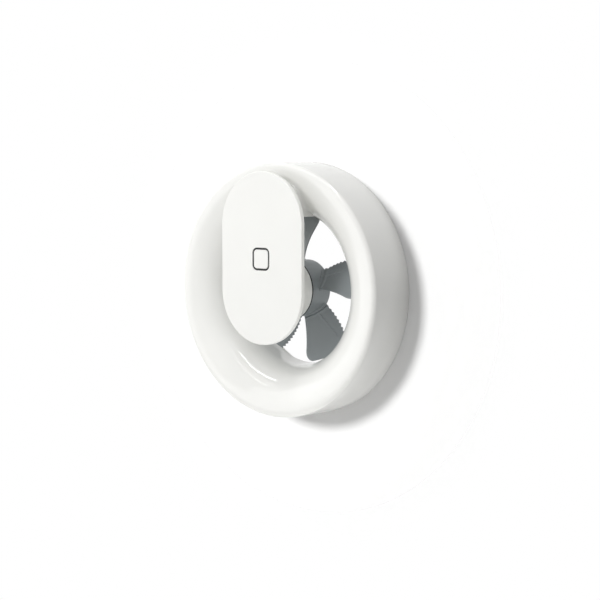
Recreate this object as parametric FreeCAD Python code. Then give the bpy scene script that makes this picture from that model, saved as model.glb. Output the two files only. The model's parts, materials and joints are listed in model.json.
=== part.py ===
import FreeCAD, Part
import math
import os

os.makedirs("parts", exist_ok=True)
V = FreeCAD.Vector

# A round wall fan in millimetres. The fan's axis is Y, the wall is the plane y = 0, the room lies on the
# -Y side and Z is up. Standoff is the distance in front of the wall, so y = -standoff.

# Shared clearances
OVERRUN = 1.0
FIT = 0.3
CLOSE_FIT = 0.05
RUN_FIT = 0.02

# Front ring: drum wall, lip, bell mouth and throat
RING_FRONT_R = 90.0
RING_DRAFT = 0.8
RING_DEPTH = 38.0
RING_WALL = 2.2
LIP_R = 3.0
THROAT_R = 55.0
THROAT_STANDOFF = 10.0
THROAT_TAIL = 4.0

# Arm that carries the pod, moulded on the ring
ARM_HALF_W = 22.5
ARM_BELOW_THROAT = 3.0
ARM_HEIGHT = 21.5
ARM_CORNER_R = 6.0
ARM_WALL = 2.2
ARM_BLADE_GAP = 3.0

# Ledges in the ring, hooks on the base and the lock screw
HOOK_ANGLES = (5.0, 175.0)
LEDGE_REACH = 3.0
LEDGE_STANDOFF = 8.0
LEDGE_T = 1.8
LEDGE_SPAN = 16.0
HOOK_T = 2.0
HOOK_NOSE = 1.6
HOOK_NOSE_T = 2.0
HOOK_SPAN = 12.0
LOCK_ANGLE = -90.0
LOCK_STANDOFF = 10.0
LOCK_BOSS_W = 10.0
LOCK_BOSS_REACH = 12.0
LOCK_SHANK_R = 1.5
LOCK_HEAD_R = 2.8
LOCK_HEAD_T = 1.2
LOCK_LENGTH = 9.0

# Mounting base, wall seal and duct spigot
BASE_T = 4.0
WALL_SCREW_INSET = 8.3
WALL_SCREW_HOLE_R = 2.25
WALL_SCREW_COUNT = 4
SPIGOT_GAP = 3.2
SPIGOT_WALL = 1.6
SPIGOT_LENGTH = 15.0
SPIGOT_FLANGE_W = 6.0
SPIGOT_FLANGE_T = 2.2
SPIGOT_SCREW_COUNT = 4
SPIGOT_BOSS_R = 2.8
SPIGOT_BOSS_H = 4.0
SEAL_GAP = 2.0
SEAL_W = 4.0
SEAL_T = 2.0

# Small screws
SCREW_SHANK_R = 1.2
SCREW_HEAD_R = 2.3
SCREW_HEAD_T = 1.4
SCREW_LENGTH = 5.0
BOSS_R = 2.6
SOCKET_R_SHARE = 0.5
SOCKET_DEPTH_SHARE = 0.6

# Mains connection in the hollow of the ring
ENTRY_ANGLE = 20.0
ENTRY_BORE_R = 3.4
GROMMET_WALL = 1.4
GROMMET_FLANGE_W = 1.8
GROMMET_FLANGE_T = 1.6
GROMMET_RING_GAP = 0.85
CLAMP_ANGLE = 36.0
CLAMP_SCREW_PITCH = 14.0
CLAMP_W = 6.0
CLAMP_T = 2.0
CLAMP_POST_H = 5.0
TERMINAL_W = 16.0
TERMINAL_H = 10.0
TERMINAL_DEPTH = 11.0
TERMINAL_GAP = 6.0
TERMINAL_COUNT = 3
TERMINAL_SCREW_R = 1.5
TERMINAL_SCREW_T = 1.0
TERMINAL_WELL_R = 1.9
TERMINAL_WELL_DEPTH = 3.0
WIRE_R = 0.8
WIRE_BEND_R = 4.0
WIRE_HALF_PITCH = 3.0
WIRE_LAYER = 3.2

# Pod and its cover plate
PLATE_HALF_W = 37.35
PLATE_TOP_INSET = 6.45
PLATE_SKIN = 1.6
PLATE_RIM_T = 1.3
PLATE_RIM_W = 1.6
PLATE_EDGE_R = 0.6
POD_INSET = 10.35
POD_DEPTH = 10.6
POD_WALL = 1.8
POD_FLOOR = 2.0
POD_SCREW_INSET = 7.0
POD_TOP_SCREW_INSET = 5.2
POD_BOSS_LENGTH = 10.0
WIRE_SLOT_HALF_W = 6.0
WIRE_SLOT_R = 2.2
WIRE_SLOT_GAP = 1.0
VENT_COUNT = 5
VENT_W = 1.4
VENT_DEPTH = 5.0
VENT_PITCH_DEG = 7.0
CLIP_W = 9.0
CLIP_T = 1.4
CLIP_REACH = 4.5

# Button in the cover plate
BUTTON_RISE_SHARE = 0.49
BUTTON_HALF_W = 6.55
BUTTON_CORNER_R = 2.6
BUTTON_SKIN = 1.3
BUTTON_WALL = 1.2
BUTTON_FLANGE_W = 1.3
BUTTON_FLANGE_T = 0.8
BUTTON_PIN_R = 1.8
BUTTON_GAP = 0.12
BUTTON_TRAVEL = 0.8
FRAME_W = 1.3
FRAME_SINK = 0.5
BUTTON_EDGE_R = 0.3
FRAME_FLANGE_W = 1.6
FRAME_FLANGE_T = 1.0

# Control board and what is soldered to it
BOARD_GAP = 1.6
BOARD_T = 1.6
BOARD_POST_H = 2.4
BOARD_ARM_GAP = 1.6
BOARD_SCREW_INSET = 4.2
BOARD_LOW_SCREW_DROP = 13.0
BOARD_LOW_SCREW_X = 13.0
BOARD_SCREW_R = 0.9
BOARD_SCREW_HEAD_R = 1.8
BOARD_SCREW_HEAD_T = 1.2
BOARD_SCREW_LENGTH = 3.6
SWITCH_HALF_W = 3.0
SWITCH_H = 2.5
SWITCH_CORNER_R = 1.0
PLUNGER_R = 1.6
PLUNGER_SUNK = 1.0
CHIP_HALF_W = 4.5
CHIP_T = 1.2
CHIP_DROP = 20.0
SUPPLY_HALF_W = 6.5
SUPPLY_H = 7.0
SUPPLY_T = 4.0
SUPPLY_EDGE_GAP = 1.0
MODULE_HALF_W = 5.0
MODULE_HALF_H = 10.0
MODULE_T = 4.0
MODULE_X = 15.5
CAP_R = 2.6
CAP_H = 4.0
CAP_COUNT = 3
CAP_PITCH = 6.6
CAP_X = 15.5
SENSOR_HALF_W = 1.5
SENSOR_T = 1.0
SENSOR_EDGE_GAP = 2.5

# Motor housing and motor board
MOTOR_R = 22.2
MOTOR_WALL = 1.8
MOTOR_LENGTH = 18.2
MOTOR_END_T = 2.2
MOTOR_SCREW_R = 16.6
MOTOR_SCREW_COUNT = 3
MOTOR_BOSS_R = 2.4
MOTOR_BOSS_STEP = 0.8
MOTOR_BOARD_SINK = 7.0
MOTOR_BOARD_T = 1.2
MOTOR_BOARD_GAP = 0.6
MOTOR_BOARD_HOLE_R = 7.0
LEAD_COUNT = 4
LEAD_R = 0.6
LEAD_PITCH = 2.2
LEAD_DROP = 11.5
LEAD_HOLE_R = 5.2

# Bearings, bearing tube and shaft
SHAFT_R = 1.5
SHAFT_TAIL = 1.6
BEARING_R = 4.0
BEARING_W = 4.0
BEARING_RING_T = 0.8
BALL_R = 0.65
BALL_COUNT = 7
TUBE_WALL = 1.5
TUBE_SHOULDER = 0.6
TUBE_FLANGE_W = 2.6
TUBE_FLANGE_T = 1.5
TUBE_END_LIP = 0.4
FRONT_BEARING_PROUD = 2.6
COLLAR_R = 2.1
WASHER_R = 2.2
WASHER_T = 0.5
CLIP_RING_R = 2.6
CLIP_RING_T = 0.4
CLIP_GROOVE = 0.3

# Hub, rotor and stator
HUB_GAP = 0.8
HUB_R = 20.4
HUB_LENGTH = 21.5
HUB_WALL = 1.7
HUB_END_T = 2.5
HUB_EDGE_R = 2.0
HUB_BOSS_R = 5.0
HUB_BOSS_H = 2.6
YOKE_WALL = 1.1
YOKE_MOUTH_GAP = 2.0
MAGNET_T = 2.0
MAGNET_MOUTH_GAP = 1.0
MAGNET_STANDOFF = 4.0
AIR_GAP = 0.5
STATOR_LENGTH = 8.0
STATOR_POLES = 6
STATOR_RING_T = 2.2
STATOR_SHOE_T = 1.7
STATOR_SLOT_DEG = 12.0
STATOR_STEM_W = 3.2
INSULATOR_T = 0.8
COIL_T = 1.5
COIL_END_T = 1.3
COIL_GAP = 0.15
COIL_END_GAP = 0.7
STATOR_PIN_R = 0.4
STATOR_PIN_COUNT = 3
STATOR_TAB_W = 1.4
STATOR_TAB_L = 2.0

# Impeller blades. The station shares place the leading and trailing edge on parallel section planes: the
# plane's distance is a share of the span from the root, sunk in the hub's wall, to the tip, both sideways
# places are shares of the tip radius, and the two heights above the hub's rear end of the hub's length.
BLADE_COUNT = 5
BLADE_ANGLE = -58.0
BLADE_TIP_GAP = 1.6
BLADE_ROOT_SINK = 2.25
BLADE_ROOT_T = 2.4
BLADE_TIP_T = 1.4
BLADE_EDGE_T = 0.8
BLADE_CAMBER_SHARE = 0.055
BLADE_STATION_SHARES = (
    (0.0, -0.072, 0.647, 0.166, 0.095),
    (0.333, -0.142, 0.702, 0.217, 0.033),
    (0.682, -0.262, 0.749, 0.224, 0.0),
    (1.03, -0.450, 0.767, 0.180, -0.009),
)
BLADE_TIP_CORNER_R = 7.5
TOOTH_COUNT = 10
TOOTH_DEPTH = 1.3
TOOTH_ROOT_GAP = 3.0

# Places worked out from the sizes above
ROOM = V(0, -1, 0)
WALLWARD = V(0, 1, 0)
crest_r = RING_FRONT_R - LIP_R
ring_rear_r = RING_FRONT_R + RING_DRAFT
throat_outer_r = THROAT_R + RING_WALL
ring_bore_r = ring_rear_r - RING_WALL
base_r = ring_bore_r - FIT
spigot_bore_r = throat_outer_r + SPIGOT_GAP
spigot_r = spigot_bore_r + SPIGOT_WALL
spigot_flange_r = spigot_r + SPIGOT_FLANGE_W
spigot_screw_r = spigot_r + SPIGOT_FLANGE_W / 2
seal_inner_r = spigot_flange_r + SEAL_GAP
wall_screw_r = base_r - WALL_SCREW_INSET
entry_r = ring_bore_r - GROMMET_RING_GAP - ENTRY_BORE_R - GROMMET_WALL - GROMMET_FLANGE_W
cavity_mid_r = (throat_outer_r + ring_bore_r) / 2
arm_bottom = THROAT_R - ARM_BELOW_THROAT
arm_top = arm_bottom + ARM_HEIGHT

pod_rear = RING_DEPTH
pod_inside = pod_rear + POD_FLOOR
plate_inside = pod_rear + POD_DEPTH
plate_front = plate_inside + PLATE_SKIN
plate_rise = RING_FRONT_R - PLATE_TOP_INSET - PLATE_HALF_W
pod_half_w = PLATE_HALF_W - POD_INSET
pod_bore = pod_half_w - POD_WALL
button_z = plate_rise * BUTTON_RISE_SHARE
window_half_w = BUTTON_HALF_W + BUTTON_GAP + FRAME_W
window_corner_r = BUTTON_CORNER_R + BUTTON_GAP + FRAME_W
wire_slot_z = arm_top - POD_TOP_SCREW_INSET - BOSS_R - WIRE_SLOT_R - WIRE_SLOT_GAP

board_rear = pod_inside + BOARD_POST_H
board_front = board_rear + BOARD_T
board_half_w = pod_bore - BOARD_GAP
board_top = arm_bottom - BOARD_ARM_GAP
frame_rear = plate_inside - FRAME_FLANGE_T
flange_front = frame_rear - BUTTON_GAP
flange_rear = flange_front - BUTTON_FLANGE_T
switch_front = board_front + SWITCH_H
plunger_front = switch_front + BUTTON_TRAVEL + BUTTON_GAP

motor_end = pod_rear - MOTOR_LENGTH
motor_inside = motor_end + MOTOR_END_T
motor_bore_r = MOTOR_R - MOTOR_WALL
motor_board_rear = pod_rear - MOTOR_BOARD_SINK
hub_front = motor_end - HUB_GAP
hub_rear = hub_front - HUB_LENGTH
hub_floor = hub_rear + HUB_END_T
hub_bore_r = HUB_R - HUB_WALL
boss_front = hub_floor + HUB_BOSS_H
rear_bearing = boss_front + BEARING_RING_T
front_bearing = motor_inside + FRONT_BEARING_PROUD - BEARING_W
tube_r = BEARING_R + TUBE_WALL
ball_pitch_r = (SHAFT_R + BEARING_R) / 2
shaft_front = front_bearing + BEARING_W + WASHER_T + CLIP_RING_T + 2 * CLIP_GROOVE
yoke_r = hub_bore_r - CLOSE_FIT
yoke_front = hub_front - YOKE_MOUTH_GAP
magnet_rear = hub_floor + MAGNET_STANDOFF
magnet_front = yoke_front - MAGNET_MOUTH_GAP
magnet_r = yoke_r - YOKE_WALL - CLOSE_FIT
stator_r = magnet_r - MAGNET_T - AIR_GAP
stator_rear = (magnet_rear + magnet_front - STATOR_LENGTH) / 2
stator_front = stator_rear + STATOR_LENGTH
stator_ring_r = tube_r + CLOSE_FIT + STATOR_RING_T
stator_pin_r = stator_ring_r + STATOR_TAB_L / 2
blade_tip_r = THROAT_R - BLADE_TIP_GAP
blade_root_x = HUB_R - BLADE_ROOT_SINK
blade_front = hub_rear + max(share[2] for share in BLADE_STATION_SHARES) * HUB_LENGTH
arm_root = blade_front + ARM_BLADE_GAP


def at(x, standoff, z):
    return V(x, -standoff, z)


def polar(radius, degrees):
    angle = math.radians(degrees)
    return radius * math.cos(angle), radius * math.sin(angle)


def rod(radius, rear, front, x=0, z=0):
    return Part.makeCylinder(radius, front - rear, at(x, rear, z), ROOM)


def tube(outer_r, inner_r, rear, front, x=0, z=0):
    return rod(outer_r, rear, front, x, z).cut(rod(inner_r, rear - OVERRUN, front + OVERRUN, x, z))


def block(x0, x1, rear, front, z0, z1):
    return Part.makeBox(x1 - x0, front - rear, z1 - z0, at(x0, front, z0))


def turned(shape, degrees):
    """A copy turned about the fan's axis, anticlockwise as seen from the room."""
    copy = shape.copy()
    copy.rotate(V(0, 0, 0), ROOM, degrees)
    return copy


def around(shape, count, first=0):
    return [turned(shape, first + 360.0 * index / count) for index in range(count)]


def spun(edges):
    """A solid of revolution about the fan's axis from a closed profile."""
    return Part.Face(Part.Wire(edges)).revolve(V(0, 0, 0), WALLWARD, 360)


def prof(radius, standoff):
    return V(radius, -standoff, 0)


def lines(points):
    return [Part.makeLine(a, b) for a, b in zip(points, points[1:])]


def arc(start, middle, end):
    return Part.Arc(start, middle, end).toShape()


def quarter_ellipse(start, corner, end):
    curve = Part.BezierCurve()
    curve.setPoles([start, corner, end])
    curve.setWeight(2, math.sqrt(0.5))
    return curve.toShape()


def prism(edges, rear, front):
    """A closed outline drawn at standoff zero, filled and drawn out from rear to front."""
    face = Part.Face(Part.Wire(edges))
    face.translate(at(0, rear, 0))
    return face.extrude(ROOM * (front - rear))


def stadium(half_w, rise, rear, front):
    right, left = at(half_w, 0, 0), at(-half_w, 0, 0)
    upper_right, upper_left = at(half_w, 0, rise), at(-half_w, 0, rise)
    edges = [Part.makeLine(right, upper_right), arc(upper_right, at(0, 0, rise + half_w), upper_left),
             Part.makeLine(upper_left, left), arc(left, at(0, 0, -half_w), right)]
    return prism(edges, rear, front)


def rounded(x0, x1, z0, z1, radius, rear, front):
    """A prism with a round-cornered rectangle as its outline."""
    edges = []
    corners = ((x1, z1, 0), (x0, z1, 90), (x0, z0, 180), (x1, z0, 270))
    ends = []
    for x, z, first in corners:
        centre_x = x - math.copysign(radius, x - (x0 + x1) / 2)
        centre_z = z - math.copysign(radius, z - (z0 + z1) / 2)
        turn = [polar(radius, first + step) for step in (0, 45, 90)]
        points = [at(centre_x + dx, 0, centre_z + dz) for dx, dz in turn]
        edges.append(arc(*points))
        ends.append((points[0], points[2]))
    for index, (start, end) in enumerate(ends):
        edges.append(Part.makeLine(end, ends[(index + 1) % len(ends)][0]))
    return prism(Part.__sortEdges__(edges), rear, front)


def rounded_square(half_w, radius, rear, front, z):
    return rounded(-half_w, half_w, z - half_w, z + half_w, radius, rear, front)


def screw(seat, outward, shank_r, length, head_r, head_t):
    """A pan-head screw whose head stands on its seat, with a driver socket."""
    whole = Part.makeCylinder(head_r, head_t, seat, outward)
    whole = whole.fuse(Part.makeCylinder(shank_r, length, seat, outward * -1))
    depth = head_t * SOCKET_DEPTH_SHARE
    socket_floor = seat + outward * (head_t - depth)
    return whole.cut(Part.makeCylinder(head_r * SOCKET_R_SHARE, depth + OVERRUN, socket_floor, outward))


def small_screw(seat, outward, length=SCREW_LENGTH):
    return screw(seat, outward, SCREW_SHANK_R, length, SCREW_HEAD_R, SCREW_HEAD_T)


def routed(points, bend_r, wire_r):
    """A round wire along straight runs with tangent arcs at the corners."""
    edges = []
    start = points[0]
    for before, corner, after in zip(points, points[1:], points[2:]):
        inward = (before - corner).normalize()
        onward = (after - corner).normalize()
        half = (inward.getAngle(onward)) / 2
        reach = bend_r / math.tan(half)
        first, last = corner + inward * reach, corner + onward * reach
        middle_dir = (inward + onward).normalize()
        middle = corner + middle_dir * (bend_r / math.sin(half) - bend_r)
        edges += [Part.makeLine(start, first), arc(first, middle, last)]
        start = last
    edges.append(Part.makeLine(start, points[-1]))
    outline = Part.Wire([Part.makeCircle(wire_r, points[0], points[1] - points[0])])
    return Part.Wire(edges).makePipeShell([outline], True, False)


def drum_r_at(standoff):
    """Outer radius of the drum wall, which tapers towards the room."""
    return ring_rear_r - RING_DRAFT * standoff / (RING_DEPTH - LIP_R)


def pod_screw_places():
    side_x = ARM_HALF_W - POD_SCREW_INSET
    low_z = arm_bottom + POD_SCREW_INSET
    return ((-side_x, low_z), (side_x, low_z), (0, arm_top - POD_TOP_SCREW_INSET))


def ring_blank():
    lip = LIP_R * math.sqrt(0.5)
    rear_throat, bell_end = prof(THROAT_R, -THROAT_TAIL), prof(THROAT_R, THROAT_STANDOFF)
    crest, drum_front = prof(crest_r, RING_DEPTH), prof(RING_FRONT_R, RING_DEPTH - LIP_R)
    edges = [Part.makeLine(rear_throat, bell_end),
             quarter_ellipse(bell_end, prof(THROAT_R, RING_DEPTH), crest),
             arc(crest, prof(crest_r + lip, RING_DEPTH - LIP_R + lip), drum_front)]
    edges += lines([drum_front, prof(ring_rear_r, 0), prof(throat_outer_r, 0),
                    prof(throat_outer_r, -THROAT_TAIL), rear_throat])
    return spun(edges)


def ring_hollow():
    bell_end, crest = prof(throat_outer_r, THROAT_STANDOFF), prof(crest_r, RING_DEPTH - RING_WALL)
    edges = [quarter_ellipse(bell_end, prof(throat_outer_r, RING_DEPTH - RING_WALL), crest)]
    edges += lines([crest, prof(RING_FRONT_R - RING_WALL, RING_DEPTH - RING_WALL), prof(ring_bore_r, 0),
                    prof(ring_bore_r, -OVERRUN), prof(throat_outer_r, -OVERRUN), bell_end])
    return spun(edges)


def arm_column(inset, rear, front):
    """The arm's column, round at its two upper corners, drawn in by an inset."""
    half_w, low, high = ARM_HALF_W - inset, arm_bottom + inset, arm_top - inset
    shoulder_x, shoulder_z = half_w - ARM_CORNER_R, high - ARM_CORNER_R
    bulge = ARM_CORNER_R * math.sqrt(0.5)
    low_right, low_left = at(half_w, 0, low), at(-half_w, 0, low)
    right, top_right = at(half_w, 0, shoulder_z), at(shoulder_x, 0, high)
    left, top_left = at(-half_w, 0, shoulder_z), at(-shoulder_x, 0, high)
    edges = [Part.makeLine(low_right, right),
             arc(right, at(shoulder_x + bulge, 0, shoulder_z + bulge), top_right),
             Part.makeLine(top_right, top_left),
             arc(top_left, at(-shoulder_x - bulge, 0, shoulder_z + bulge), left)]
    edges += lines([left, low_left, low_right])
    return prism(edges, rear, front)


def make_front_ring():
    blank = ring_blank().fuse(arm_column(0, arm_root, pod_rear))
    ring = blank.cut(ring_hollow())
    ring = ring.cut(arm_column(ARM_WALL, arm_root + ARM_WALL, pod_rear - ARM_WALL))
    for x, z in pod_screw_places():
        ring = ring.fuse(rod(BOSS_R, pod_rear - POD_BOSS_LENGTH, pod_rear - CLOSE_FIT, x, z))
        ring = ring.cut(rod(SCREW_SHANK_R, pod_rear - POD_BOSS_LENGTH - OVERRUN, pod_rear + OVERRUN, x, z))
    ring = ring.cut(wire_slot(pod_rear - ARM_WALL - OVERRUN, pod_rear + OVERRUN))
    ledge = block(ring_bore_r - LEDGE_REACH, ring_bore_r + RING_WALL / 2, LEDGE_STANDOFF,
                  LEDGE_STANDOFF + LEDGE_T, -LEDGE_SPAN / 2, LEDGE_SPAN / 2)
    for angle in HOOK_ANGLES:
        ring = ring.fuse(turned(ledge, angle))
    seat_r = drum_r_at(LOCK_STANDOFF) - LOCK_HEAD_T
    ring = ring.cut(turned(radial_rod(LOCK_SHANK_R + CLOSE_FIT, cavity_mid_r, seat_r + OVERRUN), LOCK_ANGLE))
    return ring.cut(turned(radial_rod(LOCK_HEAD_R + FIT, seat_r, ring_rear_r + OVERRUN), LOCK_ANGLE))


def radial_rod(radius, inner, outer):
    return Part.makeCylinder(radius, outer - inner, at(inner, LOCK_STANDOFF, 0), V(1, 0, 0))


def wire_slot(rear, front):
    return rounded(-WIRE_SLOT_HALF_W, WIRE_SLOT_HALF_W, wire_slot_z - WIRE_SLOT_R, wire_slot_z + WIRE_SLOT_R,
                   WIRE_SLOT_R - CLOSE_FIT, rear, front)


def make_lock_screw():
    seat = at(drum_r_at(LOCK_STANDOFF) - LOCK_HEAD_T, LOCK_STANDOFF, 0)
    return turned(screw(seat, V(1, 0, 0), LOCK_SHANK_R, LOCK_LENGTH, LOCK_HEAD_R, LOCK_HEAD_T), LOCK_ANGLE)


def hook():
    face_r = ring_bore_r - LEDGE_REACH - FIT
    nose = LEDGE_STANDOFF + LEDGE_T + FIT
    stem = block(face_r - HOOK_T, face_r, BASE_T - CLOSE_FIT, nose + HOOK_NOSE_T,
                 -HOOK_SPAN / 2, HOOK_SPAN / 2)
    return stem.fuse(block(face_r - HOOK_T, face_r + HOOK_NOSE, nose, nose + HOOK_NOSE_T,
                           -HOOK_SPAN / 2, HOOK_SPAN / 2))


def lock_boss():
    face_r = base_r - FIT
    top = LOCK_STANDOFF + LOCK_BOSS_W / 2
    boss = block(face_r - LOCK_BOSS_REACH, face_r, BASE_T - CLOSE_FIT, top, -LOCK_BOSS_W / 2, LOCK_BOSS_W / 2)
    return boss.cut(radial_rod(LOCK_SHANK_R, face_r - LOCK_BOSS_REACH - OVERRUN, face_r + OVERRUN))


def clamp_places():
    return [polar(cavity_mid_r + side * CLAMP_SCREW_PITCH / 2, CLAMP_ANGLE) for side in (-1, 1)]


def post(x, z, height):
    """A screw post on the base, before its pilot hole."""
    return rod(BOSS_R, BASE_T - CLOSE_FIT, BASE_T + height, x, z)


def spigot_screw_set(shape):
    """Copies at the spigot's screws, which lie between the hooks, the arm and the lock screw."""
    return around(shape, SPIGOT_SCREW_COUNT, 180.0 / SPIGOT_SCREW_COUNT)


def make_mounting_base():
    base = tube(base_r, throat_outer_r + FIT, 0, BASE_T)
    base = base.cut(rod(spigot_flange_r + FIT, -OVERRUN, SPIGOT_FLANGE_T))
    base = base.cut(tube(seal_inner_r + SEAL_W, seal_inner_r, -OVERRUN, SEAL_T))
    for angle in HOOK_ANGLES:
        base = base.fuse(turned(hook(), angle))
    base = base.fuse(turned(lock_boss(), LOCK_ANGLE))
    boss = rod(SPIGOT_BOSS_R, BASE_T - CLOSE_FIT, BASE_T + SPIGOT_BOSS_H, spigot_screw_r)
    pilot = rod(SCREW_SHANK_R, -OVERRUN, BASE_T + SPIGOT_BOSS_H + OVERRUN, spigot_screw_r)
    for solid, hole in zip(spigot_screw_set(boss), spigot_screw_set(pilot)):
        base = base.fuse(solid).cut(hole)
    for x, z in clamp_places():
        base = base.fuse(post(x, z, CLAMP_POST_H))
        base = base.cut(rod(SCREW_SHANK_R, BASE_T, BASE_T + CLAMP_POST_H + OVERRUN, x, z))
    first = 180.0 / WALL_SCREW_COUNT
    wall_hole = rod(WALL_SCREW_HOLE_R, -OVERRUN, BASE_T + OVERRUN, wall_screw_r)
    for hole in around(wall_hole, WALL_SCREW_COUNT, first):
        base = base.cut(hole)
    x, z = polar(entry_r, ENTRY_ANGLE)
    return base.cut(rod(ENTRY_BORE_R + GROMMET_WALL, -OVERRUN, BASE_T + OVERRUN, x, z))


def countersunk_head(seat_r):
    return Part.makeCone(SCREW_HEAD_R, SCREW_SHANK_R, SCREW_HEAD_R - SCREW_SHANK_R, at(seat_r, 0, 0), ROOM)


def make_duct_spigot():
    spigot = tube(spigot_r, spigot_bore_r, -SPIGOT_LENGTH, SPIGOT_FLANGE_T)
    spigot = spigot.fuse(tube(spigot_flange_r, spigot_bore_r, 0, SPIGOT_FLANGE_T))
    hole = rod(SCREW_SHANK_R + CLOSE_FIT, -OVERRUN, SPIGOT_FLANGE_T + OVERRUN, spigot_screw_r)
    hole = hole.fuse(countersunk_head(spigot_screw_r))
    for cut in spigot_screw_set(hole):
        spigot = spigot.cut(cut)
    return spigot


def make_spigot_screws():
    shank = rod(SCREW_SHANK_R, 0, SPIGOT_FLANGE_T + SCREW_LENGTH, spigot_screw_r)
    one = shank.fuse(countersunk_head(spigot_screw_r))
    socket = rod(SCREW_HEAD_R * SOCKET_R_SHARE, -OVERRUN, SCREW_HEAD_T * SOCKET_DEPTH_SHARE, spigot_screw_r)
    return Part.makeCompound(spigot_screw_set(one.cut(socket)))


def make_wall_seal():
    return tube(seal_inner_r + SEAL_W - CLOSE_FIT, seal_inner_r + CLOSE_FIT, 0, SEAL_T)


def make_cable_grommet():
    x, z = polar(entry_r, ENTRY_ANGLE)
    neck_r = ENTRY_BORE_R + GROMMET_WALL
    grommet = rod(neck_r - CLOSE_FIT, 0, BASE_T, x, z)
    grommet = grommet.fuse(rod(neck_r + GROMMET_FLANGE_W, BASE_T, BASE_T + GROMMET_FLANGE_T, x, z))
    return grommet.cut(rod(ENTRY_BORE_R, -OVERRUN, BASE_T + GROMMET_FLANGE_T + OVERRUN, x, z))


def make_cable_clamp():
    half_l = CLAMP_SCREW_PITCH / 2 + BOSS_R
    rear = BASE_T + CLAMP_POST_H
    bar = rounded(-half_l, half_l, -CLAMP_W / 2, CLAMP_W / 2, BOSS_R, rear, rear + CLAMP_T)
    bar.translate(V(cavity_mid_r, 0, 0))
    bar = turned(bar, CLAMP_ANGLE)
    for x, z in clamp_places():
        bar = bar.cut(rod(SCREW_SHANK_R + CLOSE_FIT, rear - OVERRUN, rear + CLAMP_T + OVERRUN, x, z))
    return bar


def make_clamp_screws():
    seat = BASE_T + CLAMP_POST_H + CLAMP_T
    return Part.makeCompound([small_screw(at(x, seat, z), ROOM) for x, z in clamp_places()])


def terminal_corner():
    return ARM_HALF_W + TERMINAL_GAP, wire_slot_z - TERMINAL_H / 2


def terminal_places():
    x0, z0 = terminal_corner()
    pitch = TERMINAL_W / TERMINAL_COUNT
    return [(x0 + pitch * (index + 0.5), z0 + TERMINAL_H / 2) for index in range(TERMINAL_COUNT)]


def make_terminal_block():
    x0, z0 = terminal_corner()
    front = BASE_T + TERMINAL_DEPTH
    body = block(x0, x0 + TERMINAL_W, BASE_T, front, z0, z0 + TERMINAL_H)
    for x, z in terminal_places():
        body = body.cut(rod(TERMINAL_WELL_R, front - TERMINAL_WELL_DEPTH, front + OVERRUN, x, z))
    return body


def make_terminal_screws():
    rear = BASE_T + TERMINAL_DEPTH - TERMINAL_WELL_DEPTH
    screws = [rod(TERMINAL_SCREW_R, rear, rear + TERMINAL_SCREW_T, x, z) for x, z in terminal_places()]
    return Part.makeCompound(screws)


def make_supply_wires():
    """Two wires from the terminal block through the arm to the supply connector in the pod."""
    x0, z0 = terminal_corner()
    inside = board_front + SUPPLY_T / 2
    wires = []
    for side in (-1, 1):
        run = BASE_T + TERMINAL_DEPTH / 2 + side * WIRE_LAYER / 2
        x = side * WIRE_HALF_PITCH
        points = [at(x0, run, wire_slot_z), at(x, run, wire_slot_z), at(x, inside, wire_slot_z),
                  at(x, inside, board_top - SUPPLY_EDGE_GAP)]
        wires.append(routed(points, WIRE_BEND_R, WIRE_R))
    return Part.makeCompound(wires)


def board_screw_places():
    high_x = board_half_w - BOARD_SCREW_INSET
    high_z = board_top - BOARD_SCREW_INSET
    low = ((-BOARD_LOW_SCREW_X, -BOARD_LOW_SCREW_DROP), (BOARD_LOW_SCREW_X, -BOARD_LOW_SCREW_DROP))
    return ((-high_x, high_z), (high_x, high_z)) + low


def motor_screw_places():
    angles = [30.0 + 360.0 * index / MOTOR_SCREW_COUNT for index in range(MOTOR_SCREW_COUNT)]
    return [polar(MOTOR_SCREW_R, angle) for angle in angles]


def make_pod_housing():
    pod = stadium(pod_half_w, plate_rise, pod_rear, plate_inside)
    pod = pod.cut(stadium(pod_bore, plate_rise, pod_inside, plate_inside + OVERRUN))
    for x, z in board_screw_places():
        pod = pod.fuse(rod(BOSS_R, pod_inside - CLOSE_FIT, board_rear, x, z))
        pod = pod.cut(rod(BOARD_SCREW_R, pod_inside, board_rear + OVERRUN, x, z))
    for x, z in tuple(motor_screw_places()) + pod_screw_places():
        pod = pod.cut(rod(SCREW_SHANK_R + CLOSE_FIT, pod_rear - OVERRUN, pod_inside + OVERRUN, x, z))
    pod = pod.cut(rod(LEAD_HOLE_R, pod_rear - OVERRUN, pod_inside + OVERRUN, 0, -LEAD_DROP))
    pod = pod.cut(wire_slot(pod_rear - OVERRUN, pod_inside + OVERRUN))
    vent_mid = (board_front + plate_inside) / 2
    vent = block(pod_bore - OVERRUN, pod_half_w + OVERRUN, vent_mid - VENT_DEPTH / 2,
                 vent_mid + VENT_DEPTH / 2, -VENT_W / 2, VENT_W / 2)
    for index in range(VENT_COUNT):
        pod = pod.cut(turned(vent, -90 + VENT_PITCH_DEG * (index - (VENT_COUNT - 1) / 2)))
    return pod


def make_pod_screws():
    length = SCREW_LENGTH + POD_FLOOR
    screws = [small_screw(at(x, pod_inside, z), ROOM, length) for x, z in pod_screw_places()]
    return Part.makeCompound(screws)


def clip(side, z):
    outer = pod_bore - FIT
    x0, x1 = sorted((side * outer, side * (outer - CLIP_T)))
    return block(x0, x1, plate_inside - CLIP_REACH, plate_inside + CLOSE_FIT, z - CLIP_W / 2, z + CLIP_W / 2)


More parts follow.
